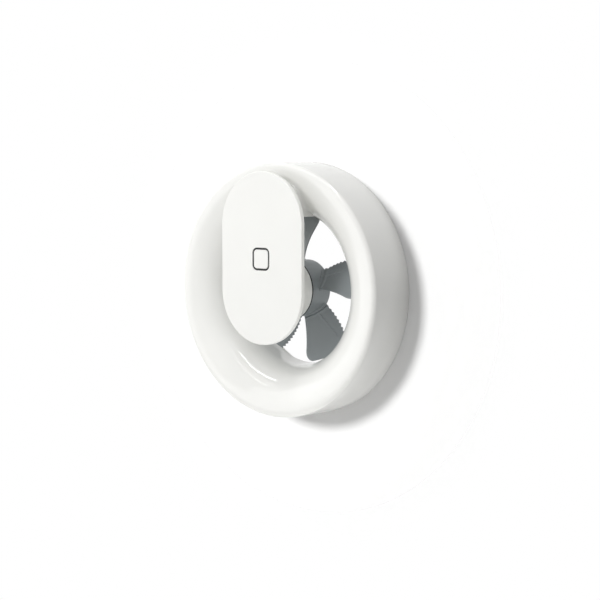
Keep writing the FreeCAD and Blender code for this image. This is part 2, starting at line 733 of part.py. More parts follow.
def make_cover_plate():
    skin = stadium(PLATE_HALF_W, plate_rise, plate_inside - PLATE_RIM_T, plate_front)
    front_edges = [edge for edge in skin.Edges if edge.BoundBox.YMax < -plate_front + CLOSE_FIT]
    plate = skin.makeFillet(PLATE_EDGE_R, front_edges)
    plate = plate.cut(stadium(PLATE_HALF_W - PLATE_RIM_W, plate_rise, plate_inside - PLATE_RIM_T - OVERRUN,
                              plate_inside))
    for side in (-1, 1):
        for z in (CLIP_W / 2, plate_rise - CLIP_W / 2):
            plate = plate.fuse(clip(side, z))
    window = rounded_square(window_half_w, window_corner_r, plate_inside - OVERRUN, plate_front + OVERRUN,
                            button_z)
    return plate.cut(window)


def make_button_frame():
    half_w, corner_r = window_half_w - CLOSE_FIT, window_corner_r - CLOSE_FIT
    frame = rounded_square(half_w, corner_r, frame_rear, plate_front - FRAME_SINK, button_z)
    frame = frame.fuse(rounded_square(half_w + FRAME_FLANGE_W, corner_r, frame_rear, plate_inside, button_z))
    bore = BUTTON_HALF_W + BUTTON_GAP
    return frame.cut(rounded_square(bore, BUTTON_CORNER_R + BUTTON_GAP, frame_rear - OVERRUN,
                                    plate_front + OVERRUN, button_z))


def make_push_button():
    cap = rounded_square(BUTTON_HALF_W, BUTTON_CORNER_R, flange_rear, plate_front, button_z)
    top_edges = [edge for edge in cap.Edges if edge.BoundBox.YMax < -plate_front + CLOSE_FIT]
    cap = cap.makeFillet(BUTTON_EDGE_R, top_edges)
    flange_half_w = BUTTON_HALF_W + BUTTON_FLANGE_W
    cap = cap.fuse(rounded_square(flange_half_w, BUTTON_CORNER_R, flange_rear, flange_front, button_z))
    pocket_half_w = BUTTON_HALF_W - BUTTON_WALL
    cap = cap.cut(rounded_square(pocket_half_w, BUTTON_CORNER_R - BUTTON_WALL, flange_rear - OVERRUN,
                                 plate_front - BUTTON_SKIN, button_z))
    pin = rod(BUTTON_PIN_R, plunger_front + RUN_FIT, plate_front - BUTTON_SKIN + CLOSE_FIT, 0, button_z)
    return cap.fuse(pin)


def make_tact_switch():
    body = rounded_square(SWITCH_HALF_W, SWITCH_CORNER_R, board_front, switch_front, button_z)
    well = switch_front - PLUNGER_SUNK - BUTTON_TRAVEL - BUTTON_GAP
    return body.cut(rod(PLUNGER_R + BUTTON_GAP, well, switch_front + OVERRUN, 0, button_z))


def make_switch_plunger():
    return rod(PLUNGER_R, switch_front - PLUNGER_SUNK, plunger_front, 0, button_z)


def make_control_board():
    board = stadium(board_half_w, plate_rise, board_rear, board_front)
    board = board.common(block(-board_half_w, board_half_w, board_rear, board_front,
                               -board_half_w, board_top))
    for x, z in board_screw_places():
        board = board.cut(rod(BOARD_SCREW_R + CLOSE_FIT, board_rear - OVERRUN, board_front + OVERRUN, x, z))
    return board


def make_board_screws():
    screws = [screw(at(x, board_front, z), ROOM, BOARD_SCREW_R, BOARD_SCREW_LENGTH, BOARD_SCREW_HEAD_R,
                    BOARD_SCREW_HEAD_T) for x, z in board_screw_places()]
    return Part.makeCompound(screws)


def make_microcontroller():
    z = button_z - CHIP_DROP
    return block(-CHIP_HALF_W, CHIP_HALF_W, board_front, board_front + CHIP_T,
                 z - CHIP_HALF_W, z + CHIP_HALF_W)


def make_power_module():
    return block(-MODULE_X - MODULE_HALF_W, -MODULE_X + MODULE_HALF_W, board_front, board_front + MODULE_T,
                 button_z - MODULE_HALF_H, button_z + MODULE_HALF_H)


def make_filter_capacitors():
    places = [button_z + CAP_PITCH * (index - (CAP_COUNT - 1) / 2) for index in range(CAP_COUNT)]
    return Part.makeCompound([rod(CAP_R, board_front, board_front + CAP_H, CAP_X, z) for z in places])


def make_supply_connector():
    top = board_top - SUPPLY_EDGE_GAP
    return block(-SUPPLY_HALF_W, SUPPLY_HALF_W, board_front, board_front + SUPPLY_T, top - SUPPLY_H, top)


def make_humidity_sensor():
    z0 = -board_half_w + SENSOR_EDGE_GAP
    return block(-SENSOR_HALF_W, SENSOR_HALF_W, board_front, board_front + SENSOR_T,
                 z0, z0 + 2 * SENSOR_HALF_W)


def make_motor_housing():
    housing = rod(MOTOR_R, motor_end, pod_rear)
    housing = housing.cut(rod(motor_bore_r, motor_inside, pod_rear + OVERRUN))
    for x, z in motor_screw_places():
        housing = housing.fuse(rod(MOTOR_BOSS_R, motor_inside - CLOSE_FIT, pod_rear, x, z))
        step = rod(MOTOR_BOSS_R + MOTOR_BOSS_STEP, motor_inside - CLOSE_FIT, motor_board_rear, x, z)
        housing = housing.fuse(step.common(rod(motor_bore_r + CLOSE_FIT, motor_inside - CLOSE_FIT, pod_rear)))
        housing = housing.cut(rod(SCREW_SHANK_R, motor_inside, pod_rear + OVERRUN, x, z))
    for hole in around(rod(2 * STATOR_PIN_R, motor_end - OVERRUN, motor_inside + OVERRUN, stator_pin_r),
                       STATOR_PIN_COUNT, 180.0 / STATOR_POLES):
        housing = housing.cut(hole)
    return housing.cut(rod(tube_r + CLOSE_FIT, motor_end - OVERRUN, motor_inside + OVERRUN))


def make_motor_screws():
    length = SCREW_LENGTH + POD_FLOOR
    screws = [small_screw(at(x, pod_inside, z), ROOM, length) for x, z in motor_screw_places()]
    return Part.makeCompound(screws)


def make_motor_board():
    front = motor_board_rear + MOTOR_BOARD_T
    board = tube(motor_bore_r - MOTOR_BOARD_GAP, MOTOR_BOARD_HOLE_R, motor_board_rear, front)
    for x, z in motor_screw_places():
        board = board.cut(rod(MOTOR_BOSS_R + CLOSE_FIT, motor_board_rear - OVERRUN, front + OVERRUN, x, z))
    pin_hole = rod(STATOR_PIN_R + CLOSE_FIT, motor_board_rear - OVERRUN, front + OVERRUN, stator_pin_r)
    for hole in around(pin_hole, STATOR_PIN_COUNT, 180.0 / STATOR_POLES):
        board = board.cut(hole)
    return board


def make_motor_lead():
    rear = motor_board_rear + MOTOR_BOARD_T
    places = [LEAD_PITCH * (index - (LEAD_COUNT - 1) / 2) for index in range(LEAD_COUNT)]
    return Part.makeCompound([rod(LEAD_R, rear, board_rear, x, -LEAD_DROP) for x in places])


def make_bearing_tube():
    rear, front = rear_bearing - TUBE_END_LIP, front_bearing + BEARING_W + TUBE_END_LIP
    body = rod(tube_r, rear, front)
    body = body.fuse(rod(tube_r + TUBE_FLANGE_W, motor_inside, motor_inside + TUBE_FLANGE_T))
    body = body.cut(rod(BEARING_R - TUBE_SHOULDER, rear - OVERRUN, front + OVERRUN))
    body = body.cut(rod(BEARING_R + RUN_FIT, rear - OVERRUN, rear_bearing + BEARING_W))
    return body.cut(rod(BEARING_R + RUN_FIT, front_bearing, front + OVERRUN))


def race(rear):
    """The groove that the balls of a bearing run in."""
    return Part.makeTorus(ball_pitch_r, BALL_R + RUN_FIT, at(0, rear + BEARING_W / 2, 0), ROOM)


def make_bearing_outer_rings():
    rings = [tube(BEARING_R, BEARING_R - BEARING_RING_T, rear, rear + BEARING_W).cut(race(rear))
             for rear in (rear_bearing, front_bearing)]
    return Part.makeCompound(rings)


def make_bearing_inner_rings():
    rings = [tube(SHAFT_R + BEARING_RING_T, SHAFT_R + RUN_FIT, rear, rear + BEARING_W).cut(race(rear))
             for rear in (rear_bearing, front_bearing)]
    return Part.makeCompound(rings)


def make_bearing_balls():
    balls = []
    for rear in (rear_bearing, front_bearing):
        ball = Part.makeSphere(BALL_R, at(ball_pitch_r, rear + BEARING_W / 2, 0))
        balls += around(ball, BALL_COUNT)
    return Part.makeCompound(balls)


def make_motor_shaft():
    shaft = rod(SHAFT_R, hub_floor - SHAFT_TAIL, shaft_front)
    rear = front_bearing + BEARING_W + WASHER_T
    return shaft.cut(tube(SHAFT_R + OVERRUN, SHAFT_R - CLIP_GROOVE, rear, rear + CLIP_RING_T + RUN_FIT))


def make_preload_washer():
    rear = front_bearing + BEARING_W
    return tube(WASHER_R, SHAFT_R + CLOSE_FIT, rear, rear + WASHER_T)


def make_shaft_clip():
    rear = front_bearing + BEARING_W + WASHER_T
    ring = tube(CLIP_RING_R, SHAFT_R - CLIP_GROOVE + RUN_FIT, rear, rear + CLIP_RING_T)
    gap = block(0, CLIP_RING_R + OVERRUN, rear - OVERRUN, rear + OVERRUN, -SHAFT_R / 2, SHAFT_R / 2)
    return ring.cut(gap)


def section(station, thickness):
    """One blade section on a plane square to X, with a round nose and a square trailing edge."""
    lead, trail = station_edges(station)
    chord = trail - lead
    along = V(chord).normalize()
    across = along.cross(V(1, 0, 0))
    middle = lead + chord * 0.5 + across * (chord.Length * BLADE_CAMBER_SHARE)
    half_edge, half = across * (BLADE_EDGE_T / 2), across * (thickness / 2)
    nose = lead - along * (BLADE_EDGE_T / 2)
    edges = [arc(lead + half_edge, middle + half, trail + half_edge),
             Part.makeLine(trail + half_edge, trail - half_edge),
             arc(trail - half_edge, middle - half, lead - half_edge),
             arc(lead - half_edge, nose, lead + half_edge)]
    return Part.Wire(edges)


def station_edges(station):
    """The leading and trailing edge points of a blade station."""
    plane, lead_side, lead_height, trail_side, trail_height = station
    x = blade_root_x + plane * (blade_tip_r - blade_root_x)
    lead = at(x, hub_rear + lead_height * HUB_LENGTH, lead_side * blade_tip_r)
    return lead, at(x, hub_rear + trail_height * HUB_LENGTH, trail_side * blade_tip_r)


def trailing_point(share):
    """A point of the trailing edge and the way in along the chord, at a share of the blade's span."""
    place = share * (len(BLADE_STATION_SHARES) - 1)
    index = min(int(place), len(BLADE_STATION_SHARES) - 2)
    low, high = BLADE_STATION_SHARES[index], BLADE_STATION_SHARES[index + 1]
    mixed = [a + (b - a) * (place - index) for a, b in zip(low, high)]
    lead, trail = station_edges(mixed)
    return trail, (lead - trail).normalize()


def tooth_cut(first, last):
    """A three-sided notch in the trailing edge between two shares of the span."""
    start = trailing_point(first)[0]
    end, inward = trailing_point(last)
    deep, out = (start + end) * 0.5 + inward * TOOTH_DEPTH, inward * -OVERRUN
    points = [start, deep, end, end + out, start + out, start]
    through = inward.cross(end - start).normalize() * (2 * BLADE_ROOT_T)
    face = Part.Face(Part.makePolygon([point - through for point in points]))
    return face.extrude(through * 2)


def tip_corner_cut():
    """What is cut off the blade where the leading edge turns into the tip with a round corner."""
    inner, outer = (station_edges(station)[0] for station in BLADE_STATION_SHARES[-2:])
    inner, outer = at(inner.x, 0, inner.z), at(outer.x, 0, outer.z)
    along = (outer - inner).normalize()
    across = along.cross(ROOM)
    across = across if across.z > 0 else across * -1
    base = inner + across * BLADE_TIP_CORNER_R
    reach = blade_tip_r - BLADE_TIP_CORNER_R
    half_b = base.dot(along)
    centre = base + along * (math.sqrt(half_b ** 2 - base.dot(base) + reach ** 2) - half_b)
    to_edge, to_tip = across * -BLADE_TIP_CORNER_R, V(centre).normalize() * BLADE_TIP_CORNER_R
    corners = [centre, centre + to_edge * 2, centre + to_edge * 2 + to_tip * 2, centre + to_tip * 2, centre]
    wedge = prism(Part.makePolygon(corners).Edges, hub_rear - HUB_LENGTH, hub_front + HUB_LENGTH)
    round_rod = rod(BLADE_TIP_CORNER_R, hub_rear - 2 * HUB_LENGTH, hub_front + 2 * HUB_LENGTH,
                    centre.x, centre.z)
    return wedge.cut(round_rod)


def make_blade():
    count = len(BLADE_STATION_SHARES)
    thickness = [BLADE_ROOT_T + (BLADE_TIP_T - BLADE_ROOT_T) * index / (count - 1) for index in range(count)]
    wires = [section(station, t) for station, t in zip(BLADE_STATION_SHARES, thickness)]
    blade = Part.makeLoft(wires, True, False).cut(tip_corner_cut())
    root_share = TOOTH_ROOT_GAP / (blade_tip_r - HUB_R)
    step = (1 - root_share) / TOOTH_COUNT
    for index in range(TOOTH_COUNT):
        first = root_share + step * index
        blade = blade.cut(tooth_cut(first, first + step))
    blade = blade.common(rod(blade_tip_r, hub_rear - HUB_LENGTH, hub_front + HUB_LENGTH))
    return blade.cut(rod(hub_bore_r + HUB_WALL / 2, hub_rear - HUB_LENGTH, hub_front + HUB_LENGTH))


def make_impeller():
    hub = rod(HUB_R, hub_rear, hub_front)
    rear_edge = [edge for edge in hub.Edges if edge.BoundBox.YMin > -hub_rear - CLOSE_FIT]
    hub = hub.makeFillet(HUB_EDGE_R, rear_edge)
    hub = hub.cut(rod(hub_bore_r, hub_floor, hub_front + OVERRUN))
    hub = hub.fuse(rod(HUB_BOSS_R, hub_floor - CLOSE_FIT, boss_front))
    hub = hub.fuse(rod(COLLAR_R, hub_floor - CLOSE_FIT, rear_bearing))
    hub = hub.cut(rod(SHAFT_R + RUN_FIT, hub_floor - SHAFT_TAIL, rear_bearing + OVERRUN))
    for blade in around(make_blade(), BLADE_COUNT, BLADE_ANGLE):
        hub = hub.fuse(blade)
    return hub


def make_rotor_yoke():
    yoke = rod(yoke_r, hub_floor, yoke_front)
    yoke = yoke.cut(rod(yoke_r - YOKE_WALL, hub_floor + YOKE_WALL, hub_front + OVERRUN))
    return yoke.cut(rod(HUB_BOSS_R + CLOSE_FIT, hub_floor - OVERRUN, hub_front))


def make_rotor_magnet():
    return tube(magnet_r, magnet_r - MAGNET_T, magnet_rear, magnet_front)


def stator_stem(inner_r, outer_r, rear, front):
    return block(inner_r, outer_r, rear, front, -STATOR_STEM_W / 2, STATOR_STEM_W / 2)


def make_stator_core():
    core = rod(stator_r, stator_rear, stator_front)
    core = core.cut(tube(stator_r - STATOR_SHOE_T, stator_ring_r, stator_rear - OVERRUN,
                         stator_front + OVERRUN))
    reach = stator_r + OVERRUN
    half_slot = stator_r * math.tan(math.radians(STATOR_SLOT_DEG / 2))
    slot = block(stator_r - STATOR_SHOE_T - OVERRUN, reach, stator_rear - OVERRUN, stator_front + OVERRUN,
                 -half_slot, half_slot)
    for cut in around(slot, STATOR_POLES, 180.0 / STATOR_POLES):
        core = core.cut(cut)
    stem = stator_stem(stator_ring_r - STATOR_RING_T / 2, stator_r - STATOR_SHOE_T / 2,
                       stator_rear, stator_front)
    for solid in around(stem, STATOR_POLES):
        core = core.fuse(solid)
    return core.cut(rod(tube_r + CLOSE_FIT, stator_rear - OVERRUN, stator_front + OVERRUN))


def make_stator_insulators():
    caps = []
    for rear in (stator_rear - INSULATOR_T, stator_front):
        front = rear + INSULATOR_T
        cap = tube(stator_ring_r, tube_r + CLOSE_FIT, rear, front)
        for solid in around(stator_stem(tube_r + STATOR_RING_T / 2, stator_r - STATOR_SHOE_T, rear, front),
                            STATOR_POLES):
            cap = cap.fuse(solid)
        if rear == stator_front:
            tab = block(stator_ring_r - STATOR_RING_T / 2, stator_ring_r + STATOR_TAB_L, rear, front,
                        -STATOR_TAB_W / 2, STATOR_TAB_W / 2)
            tab = tab.cut(rod(STATOR_PIN_R + RUN_FIT, rear - OVERRUN, front + OVERRUN, stator_pin_r))
            for solid in around(tab, STATOR_PIN_COUNT, 180.0 / STATOR_POLES):
                cap = cap.fuse(solid)
        caps.append(cap)
    return Part.makeCompound(caps)


def make_stator_coils():
    inner_r, outer_r = stator_ring_r + COIL_END_GAP, stator_r - STATOR_SHOE_T - COIL_END_GAP
    half_hole = STATOR_STEM_W / 2 + COIL_GAP
    rear, front = stator_rear - INSULATOR_T - COIL_GAP, stator_front + INSULATOR_T + COIL_GAP
    coil = block(inner_r, outer_r, rear - COIL_END_T, front + COIL_END_T,
                 -half_hole - COIL_T, half_hole + COIL_T)
    coil = coil.cut(block(inner_r - OVERRUN, outer_r + OVERRUN, rear, front, -half_hole, half_hole))
    return Part.makeCompound(around(coil, STATOR_POLES))


def make_stator_pins():
    pin = rod(STATOR_PIN_R, stator_front, motor_board_rear + MOTOR_BOARD_T + STATOR_PIN_R, stator_pin_r)
    return Part.makeCompound(around(pin, STATOR_PIN_COUNT, 180.0 / STATOR_POLES))


NODES = {
    "front_ring": make_front_ring,
    "lock_screw": make_lock_screw,
    "mounting_base": make_mounting_base,
    "duct_spigot": make_duct_spigot,
    "spigot_screws": make_spigot_screws,
    "wall_seal": make_wall_seal,
    "cable_grommet": make_cable_grommet,
    "cable_clamp": make_cable_clamp,
    "clamp_screws": make_clamp_screws,
    "terminal_block": make_terminal_block,
    "terminal_screws": make_terminal_screws,
    "supply_wires": make_supply_wires,
    "pod_housing": make_pod_housing,
    "pod_screws": make_pod_screws,
    "cover_plate": make_cover_plate,
    "button_frame": make_button_frame,
    "push_button": make_push_button,
    "tact_switch": make_tact_switch,
    "switch_plunger": make_switch_plunger,
    "control_board": make_control_board,
    "board_screws": make_board_screws,
    "microcontroller": make_microcontroller,
    "power_module": make_power_module,
    "filter_capacitors": make_filter_capacitors,
    "supply_connector": make_supply_connector,
    "humidity_sensor": make_humidity_sensor,
    "motor_housing": make_motor_housing,
    "motor_screws": make_motor_screws,
    "motor_board": make_motor_board,
    "motor_lead": make_motor_lead,
    "bearing_tube": make_bearing_tube,
    "bearing_outer_rings": make_bearing_outer_rings,
    "bearing_inner_rings": make_bearing_inner_rings,
    "bearing_balls": make_bearing_balls,
    "motor_shaft": make_motor_shaft,
    "preload_washer": make_preload_washer,
    "shaft_clip": make_shaft_clip,
    "impeller": make_impeller,
    "rotor_yoke": make_rotor_yoke,
    "rotor_magnet": make_rotor_magnet,
    "stator_core": make_stator_core,
    "stator_insulators": make_stator_insulators,
    "stator_coils": make_stator_coils,
    "stator_pins": make_stator_pins,
}

for node, make in NODES.items():
    shape = make()
    shape.exportStep("parts/" + node + ".step")
    solids = len(shape.Solids)
    print(node, solids, shape.isValid(), round(shape.Volume))
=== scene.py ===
import json
import math

import bmesh
import bpy
import numpy as np
from mathutils import Matrix, Vector


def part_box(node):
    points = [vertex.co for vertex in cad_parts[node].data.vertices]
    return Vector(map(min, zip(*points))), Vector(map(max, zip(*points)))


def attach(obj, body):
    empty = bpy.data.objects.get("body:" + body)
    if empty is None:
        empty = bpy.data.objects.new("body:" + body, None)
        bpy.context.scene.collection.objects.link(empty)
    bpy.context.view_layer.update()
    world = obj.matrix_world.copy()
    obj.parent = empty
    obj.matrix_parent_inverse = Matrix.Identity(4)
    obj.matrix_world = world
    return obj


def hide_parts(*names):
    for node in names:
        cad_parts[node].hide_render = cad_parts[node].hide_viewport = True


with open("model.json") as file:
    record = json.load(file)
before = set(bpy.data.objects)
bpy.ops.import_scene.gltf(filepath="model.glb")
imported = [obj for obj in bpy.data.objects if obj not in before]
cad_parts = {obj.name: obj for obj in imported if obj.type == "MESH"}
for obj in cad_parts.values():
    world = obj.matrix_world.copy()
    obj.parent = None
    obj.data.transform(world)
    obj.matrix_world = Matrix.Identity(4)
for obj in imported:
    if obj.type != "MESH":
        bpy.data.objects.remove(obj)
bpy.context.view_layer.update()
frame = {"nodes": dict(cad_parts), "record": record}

MM = 0.001

# Sizes. Standoff is the distance in front of the wall, so y = -standoff.
ring_low, ring_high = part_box("front_ring")
screw_low, screw_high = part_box("lock_screw")

RING_REAR_R = ring_high.x
RING_DEPTH = -ring_low.y
THROAT_TAIL = ring_high.y
DRUM_TAPER = 0.8 * MM
RING_FRONT_R = RING_REAR_R - DRUM_TAPER
RING_WALL = 2.2 * MM
LIP_R = 3 * MM
THROAT_R = 55 * MM
THROAT_STANDOFF = 10 * MM
EDGE_R = 0.4 * MM
SCREW_WELL_R = 3.1 * MM
SCREW_WELL_DEPTH = 1.4 * MM
SCREW_WELL_PAST = 2 * MM

ARM_HALF_W = 22.5 * MM
ARM_LOW = 52 * MM
ARM_HIGH = 73.5 * MM
ARM_TOP_R = 6 * MM
ARM_ROOT = 17 * MM
ARM_FILLET = 5 * MM
ARM_FILLET_MOST_OF_WALL = 0.85
ARM_SINK = 0.04 * MM
ARM_REAR_MIDDLE = THROAT_R + 2 * MM

HUB_R = 20.4 * MM
HUB_REAR = -2.5 * MM
HUB_FRONT = 19 * MM
HUB_LENGTH = HUB_FRONT - HUB_REAR
HUB_WALL = 1.7 * MM
HUB_END_T = 2.5 * MM
HUB_EDGE_R = 2 * MM
HUB_SHAFT_HOLE_R = 4 * MM
HUB_END_MIDDLE_R = 12 * MM

BLADE_COUNT = 5
BLADE_ANGLE = math.radians(-58)
BLADE_TIP_R = 53.4 * MM
BLADE_ROOT_X = 18.15 * MM
BLADE_ROOT_SINK = 1.0 * MM
BLADE_ROOT_T = 2.4 * MM
BLADE_TIP_T = 1.4 * MM
BLADE_EDGE_R = 0.4 * MM
BLADE_CAMBER_SHARE = 0.055
BLADE_LENGTH = BLADE_TIP_R - HUB_R
# plane distance, then the leading and the trailing edge's sideways place and height, as in the CAD part
BLADE_STATION_SHARES = np.array([
    (0.0, -0.072, 0.647, 0.166, 0.095),
    (0.333, -0.142, 0.702, 0.217, 0.033),
    (0.682, -0.262, 0.749, 0.224, 0.0),
    (1.03, -0.450, 0.767, 0.180, -0.009),
])
TIP_CORNER_R = 7.5 * MM
TIP_CHORD = 0.7 * BLADE_TIP_R
TOOTH_COUNT = 10
TOOTH_DEPTH = 1.3 * MM
TOOTH_ROOT_GAP = 3 * MM
TOOTH_CHORD = 0.62 * BLADE_TIP_R
ROOT_FILLET_R = 2.2 * MM
ROOT_BEAD_H = 1.1 * MM
ROOT_BEAD_HALF_W = 0.8 * MM
RIB_ROOT_SHARE = 0.5
RIB_TIP_SHARE = 0.94
RIB_HEIGHT = 0.45 * MM
RIB_HALF_W = 0.8 * MM
RIB_END_PART = 0.9
RIB_RUN_OUT_PART = 0.2

# How finely the curves are divided
RING_STEPS = 240
HUB_STEPS = 128
WELL_STEPS = 48
EDGE_POINTS = 5
HUB_EDGE_POINTS = 9
THROAT_POINTS = 6
BELL_POINTS = 64
BELL_REAR_POINTS = 32
LIP_POINTS = 20
DRUM_WALL_SHARES = (0.25, 0.5, 0.75)
ARM_SIDE_POINTS = 24
ARM_CORNER_POINTS = 13
ARM_FOOT_POINTS = 40
ARM_WALL_POINTS = 5
ARM_FILLET_POINTS = 9
BLADE_RIM_SHARES = np.array([0, 0.002, 0.006, 0.012, 0.02])
BLADE_CHORD_SHARES = np.linspace(0.03, 0.97, 22)
BLADE_RIB_SHARES = RIB_ROOT_SHARE + np.linspace(-0.05, 0.05, 17)
BLADE_ROOT_POINTS = 16
TOOTH_POINTS = 8
SHARE_DIGITS = 5
BLADE_SEARCH_FROM = 0.2 * HUB_R
BLADE_SEARCH_TO = 1.2 * BLADE_TIP_R
HALVINGS = 40
MERGE_DISTANCE = 1e-7
SHARP_DEG = 35
ARM_SHARP_DEG = 40
BLADE_SHARP_DEG = 50


# Mesh helpers
def linked(name, data):
    """An object at the origin, in the scene."""
    obj = bpy.data.objects.new(name, data)
    bpy.context.scene.collection.objects.link(obj)
    return obj


def mesh_object(name, points, faces, sharp_deg=SHARP_DEG):
    """A mesh object at the origin, smooth but for edges sharper than the given angle."""
    mesh = bpy.data.meshes.new(name)
    mesh.from_pydata([tuple(p) for p in points], [], [tuple(f) for f in faces])
    edit = bmesh.new()
    edit.from_mesh(mesh)
    bmesh.ops.remove_doubles(edit, verts=edit.verts, dist=MERGE_DISTANCE)
    bmesh.ops.dissolve_degenerate(edit, edges=edit.edges, dist=MERGE_DISTANCE)
    bmesh.ops.recalc_face_normals(edit, faces=edit.faces)
    edit.to_mesh(mesh)
    edit.free()
    mesh.shade_smooth()
    mesh.set_sharp_from_angle(angle=math.radians(sharp_deg))
    return linked(name, mesh)


def bake(obj):
    """Turns the object and its modifiers into one plain mesh."""
    graph = bpy.context.evaluated_depsgraph_get()
    mesh = bpy.data.meshes.new_from_object(obj.evaluated_get(graph))
    obj.modifiers.clear()
    obj.data = mesh
    return obj


def joined(name, *objects):
    """One object from several, made from their plain meshes."""
    edit = bmesh.new()
    for obj in objects:
        edit.from_mesh(obj.data)
        bpy.data.objects.remove(obj)
    mesh = bpy.data.meshes.new(name)
    edit.to_mesh(mesh)
    edit.free()
    return linked(name, mesh)


def loop_faces(rows, columns, close_rows):
    """Quads of a grid whose columns run round in a loop."""
    faces = []
    for i in range(rows if close_rows else rows - 1):
        row, next_row = i * columns, (i + 1) % rows * columns
        for j in range(columns):
            k = (j + 1) % columns
            faces.append((row + j, row + k, next_row + k, next_row + j))
    return faces


def circle_angles(steps):
    """Evenly spaced angles round a full turn."""
    return np.arange(steps) * 2 * math.pi / steps


def lathe(name, profile, steps):
    """A closed profile of radius and standoff, turned about the fan's axis."""
    angles = circle_angles(steps)
    points = [(r * math.cos(a), -s, r * math.sin(a)) for r, s in profile for a in angles]
    return mesh_object(name, points, loop_faces(len(profile), steps, True))


def ellipse_run(centre, half_w, half_h, first_deg, last_deg, count):
    """Points of radius and standoff along part of an ellipse."""
    angles = np.radians(np.linspace(first_deg, last_deg, count))
    return [(centre[0] + half_w * math.cos(a), centre[1] + half_h * math.sin(a)) for a in angles]


def turn(centre, radius, first_deg, last_deg, count):
    """Points of radius and standoff along part of a circle."""
    return ellipse_run(centre, radius, radius, first_deg, last_deg, count)


# Front ring: lip, bell mouth and throat turned smooth, with the arm blended into the bell
crest_r = RING_FRONT_R - LIP_R
bell_w = crest_r - THROAT_R
bell_h = RING_DEPTH - THROAT_STANDOFF
outer_throat = THROAT_R + RING_WALL
inner_top = RING_DEPTH - RING_WALL
bore_r = RING_REAR_R - RING_WALL
bell_centre = (crest_r, THROAT_STANDOFF)


def drum_wall(share):
    """Radius and standoff on the drum's tapered wall, from the lip at 0 to the wall side at 1."""
    return RING_FRONT_R + (RING_REAR_R - RING_FRONT_R) * share, (RING_DEPTH - LIP_R) * (1 - share)


ring_profile = (
    turn((THROAT_R + EDGE_R, -THROAT_TAIL + EDGE_R), EDGE_R, 270, 180, EDGE_POINTS)
    + [(THROAT_R, s) for s in np.linspace(0, THROAT_STANDOFF, THROAT_POINTS)[:-1]]
    + ellipse_run(bell_centre, bell_w, bell_h, 180, 90, BELL_POINTS)
    + turn((crest_r, RING_DEPTH - LIP_R), LIP_R, 90, 0, LIP_POINTS)[1:]
    + [drum_wall(share) for share in DRUM_WALL_SHARES]
    + turn((RING_REAR_R - EDGE_R, EDGE_R), EDGE_R, 0, -90, EDGE_POINTS)
    + [(bore_r, 0), (RING_FRONT_R - RING_WALL, inner_top)]
    + ellipse_run(bell_centre, crest_r - outer_throat, inner_top - THROAT_STANDOFF, 90, 180, BELL_REAR_POINTS)
    + turn((outer_throat - EDGE_R, -THROAT_TAIL + EDGE_R), EDGE_R, 0, -90, EDGE_POINTS)
)
ring_shell = lathe("ring_shell", ring_profile, RING_STEPS)


def arm_foot(x, z):
    """Standoff where the arm's wall meets the bell mouth, or its own root where the bell lies deeper."""
    across = min(max((crest_r - math.hypot(x, z)) / bell_w, 0), 1)
    return max(THROAT_STANDOFF + bell_h * math.sqrt(1 - across * across), ARM_ROOT)


def arm_outline():
    """Points, outward directions and fillet shares round the arm, from its lower left corner clockwise."""
    rows = []
    for z in np.linspace(ARM_LOW, ARM_HIGH - ARM_TOP_R, ARM_SIDE_POINTS):
        rows.append((-ARM_HALF_W, z, -1.0, 0.0, min(1, (z - ARM_LOW) / ARM_FILLET)))
    for side, first_deg in ((-1, 180), (1, 90)):
        centre_x, centre_z = side * (ARM_HALF_W - ARM_TOP_R), ARM_HIGH - ARM_TOP_R
        for angle in np.radians(np.linspace(first_deg, first_deg - 90, ARM_CORNER_POINTS)):
            out_x, out_z = math.cos(angle), math.sin(angle)
            rows.append((centre_x + ARM_TOP_R * out_x, centre_z + ARM_TOP_R * out_z, out_x, out_z, 1.0))
    for z in np.linspace(ARM_HIGH - ARM_TOP_R, ARM_LOW, ARM_SIDE_POINTS):
        rows.append((ARM_HALF_W, z, 1.0, 0.0, min(1, (z - ARM_LOW) / ARM_FILLET)))
    for x in np.linspace(ARM_HALF_W, -ARM_HALF_W, ARM_FOOT_POINTS)[1:-1]:
        rows.append((x, ARM_LOW, 0.0, -1.0, 0.0))
    return rows


def arm_column(x, z, out_x, out_z, share):
    """Points from the arm's front edge down its wall, out along the fillet and into the bell."""
    foot = arm_foot(x, z)
    reach = ARM_FILLET * (share * share * (3 - 2 * share))
    rise = min(reach, ARM_FILLET_MOST_OF_WALL * (RING_DEPTH - foot))
    far_x, far_z = x + out_x * reach, z + out_z * reach
    far = arm_foot(far_x, far_z) - ARM_SINK
    column = [(x, s, z) for s in np.linspace(RING_DEPTH, foot + rise, ARM_WALL_POINTS)[:-1]]
    for t in np.linspace(0, 1, ARM_FILLET_POINTS):
        a, b, c = (1 - t) ** 2, 2 * t * (1 - t), t * t
        standoff = a * (foot + rise) + b * foot + c * far
        column.append((a * x + b * x + c * far_x, standoff, a * z + b * z + c * far_z))
    buried = far - RING_WALL / 2 if far > ARM_ROOT else far
    return column + [(far_x, buried, far_z)]


def arm_mesh():
    """The arm as a closed tube from the ring's front plane into the bell, capped at both ends."""
    columns = [arm_column(*row) for row in arm_outline()]
    points = [(x, -standoff, z) for row in zip(*columns) for x, standoff, z in row]
    rows, count = len(columns[0]), len(columns)
    faces = loop_faces(rows, count, False)
    front_middle, rear_middle = len(points), len(points) + 1
    points.append((0, -RING_DEPTH, (ARM_LOW + ARM_HIGH) / 2))
    points.append((0, -ARM_ROOT + RING_WALL, ARM_REAR_MIDDLE))
    rear_row = (rows - 1) * count
    for j in range(count):
        k = (j + 1) % count
        faces.append((j, k, front_middle))
        faces.append((rear_row + j, rear_row + k, rear_middle))
    return mesh_object("arm", points, faces, ARM_SHARP_DEG)


